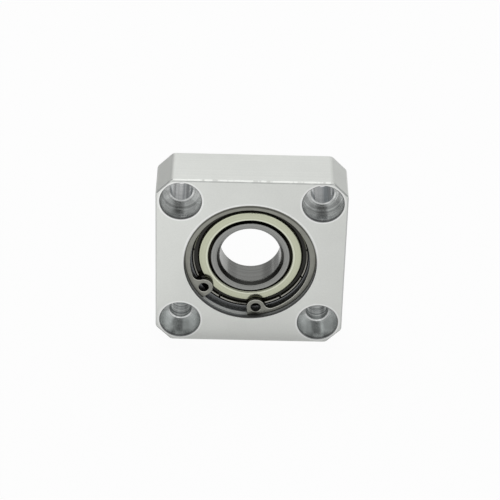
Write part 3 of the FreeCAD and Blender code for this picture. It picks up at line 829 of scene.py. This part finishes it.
white = add_node(tree, "Emission", {"Color": linear("#ffffff"), "Strength": 1.0})
mixed = add_node(tree, "MixShader", (), {0: share, 1: lit, 2: white})
add_node(tree, "OutputMaterial", (), {"Surface": mixed})
floor.data.materials.append(paper)
print("floor at", round(block_low.z / MM, 2), "mm")

# %% [markdown]
# ## Lamps
# Two softboxes hang over the tent, with places and sizes in metres. The back one is the brighter: it
# lights the top side and the upper edges and lays a faint shadow in front of the block. The front one
# fills the front face a little. An area lamp's power is spread over its surface, so a lamp of a wanted
# brightness gets its power from its size.

# %% Lamps
def add_lamp(name, place, size, radiance):
    """Square lamp that looks at the object, as bright as the given multiple of white."""
    lamp = bpy.data.lights.new(name, "AREA")
    lamp.size = size
    lamp.energy = radiance * math.pi * size ** 2
    holder = bpy.data.objects.new(name, lamp)
    scene.collection.objects.link(holder)
    holder.location = place
    holder.rotation_euler = (-Vector(place)).to_track_quat("-Z", "Y").to_euler()
    holder.visible_camera = False


add_lamp("front_softbox", (0.03, -0.36, 0.5), 0.35, 0.4)
add_lamp("back_softbox", (-0.05, 0.2, 0.52), 0.3, 1.7)

# %% [markdown]
# ## Cards
# Metal shows what stands round it, and in an all white tent it looks flat. Photographers put grey and
# black cards where only the reflections see them, and so does this step: cards behind the tent and at its
# sides, the dark camera in its grey room, and cards on the floor that grade what the pockets and the ring
# mirror.

# %% Helper for cards
def add_card(name, middle, width, height, grey, lying=False):
    """Card that only reflections see. It faces the object, or lies on the floor."""
    bpy.ops.mesh.primitive_plane_add(size=1)
    card = bpy.context.object
    card.name = name
    card.scale = (width, height, 1)
    card.location = middle
    if not lying:
        card.rotation_euler = (-Vector(middle)).to_track_quat("Z", "Y").to_euler()
    card.visible_camera = False
    card.visible_diffuse = False
    card.visible_shadow = False
    board = bpy.data.materials.new(name)
    board.use_nodes = True
    board.node_tree.nodes.clear()
    tone = add_node(board.node_tree, "Emission", {"Color": linear(grey), "Strength": 1.0})
    add_node(board.node_tree, "OutputMaterial", (), {"Surface": tone})
    card.data.materials.append(board)
    card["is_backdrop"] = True


print("helper for cards:", add_card.__name__)

# %% Standing cards
add_card("back_card", (0, 0.5, 0.2), 0.5, 0.5, "#c6c6c6")
add_card("camera_card", (0.035, -0.4, 0.25), 0.13, 0.14, "#101010")
add_card("room_card", (0.035, -0.404, 0.2525), 0.26, 0.24, "#909090")
add_card("left_card", (-0.42, 0.55, 0.18), 1.1, 0.8, "#a0a0a0")
add_card("right_card", (0.45, 0.42, 0.1), 0.5, 0.4, "#b4b4b4")

# %% Cards on the floor
ABOVE_FLOOR = block_low.z + 0.2 * MM
FOOT_WIDTH = 60 * MM
add_card("back_floor_card", (-0.08, 0.1, ABOVE_FLOOR), 0.14, 0.17, "#a8a8a8", lying=True)
add_card("right_floor_card", (0.09, -0.09, ABOVE_FLOOR), 0.14, 0.14, "#d4d4d4", lying=True)
add_card("left_floor_card", (-0.1, -0.08, ABOVE_FLOOR), 0.14, 0.14, "#ffffff", lying=True)
# The two grey strips at the foot are a painted shadow of the block on the floor, which the front face
# mirrors near its bottom.
foot_middle = (0, block_low.y - 1.5 * MM, ABOVE_FLOOR)
shade_middle = (0, block_low.y - 6 * MM, ABOVE_FLOOR)
add_card("foot_shadow_card", foot_middle, FOOT_WIDTH, 3 * MM, "#b8b8b8", lying=True)
add_card("foot_shade_card", shade_middle, FOOT_WIDTH, 6 * MM, "#cccccc", lying=True)
print("floor cards lie", round((ABOVE_FLOOR - block_low.z) / MM, 2), "mm above the floor")

# %% [markdown]
# ## Camera
# The camera stands in front and looks down on the block through a long lens, turned a little about its
# own axis. It could be placed by hand, but its angles and its distance say more than three coordinates
# would.

# %% Camera
CAMERA_AZIMUTH = math.radians(-0.708)
CAMERA_ELEVATION = math.radians(32.23)
CAMERA_ROLL = math.radians(1.618)
CAMERA_DISTANCE = 497.9 * MM
FOCAL_LENGTH_IN_MM = 143.8
NEAREST_SEEN = 10 * MM
AIM = Vector((0, 0, -4.477 * MM))
back = Vector((
    math.sin(CAMERA_AZIMUTH) * math.cos(CAMERA_ELEVATION),
    -math.cos(CAMERA_AZIMUTH) * math.cos(CAMERA_ELEVATION),
    math.sin(CAMERA_ELEVATION)))
upright = (-back).to_track_quat("-Z", "Y").to_matrix().to_4x4()
roll = Matrix.Rotation(CAMERA_ROLL, 4, "Z")
lens = bpy.data.cameras.new("camera")
lens.lens = FOCAL_LENGTH_IN_MM
lens.clip_start = NEAREST_SEEN
camera = bpy.data.objects.new("camera", lens)
scene.collection.objects.link(camera)
camera.matrix_world = Matrix.Translation(AIM + back * CAMERA_DISTANCE) @ upright @ roll
scene.camera = camera
print("camera at", [round(value / MM, 1) for value in camera.matrix_world.translation])

# %% [markdown]
# ## Check the size
# The dressed object has to fill the same box as the solids, so the largest shift of a corner between the
# two boxes is printed.

# %% Compare both boxes and finish
dressed_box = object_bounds()
growth = max((dressed - cad).length for dressed, cad in zip(dressed_box, cad_box))
print("box grew by", growth / MM, "mm")
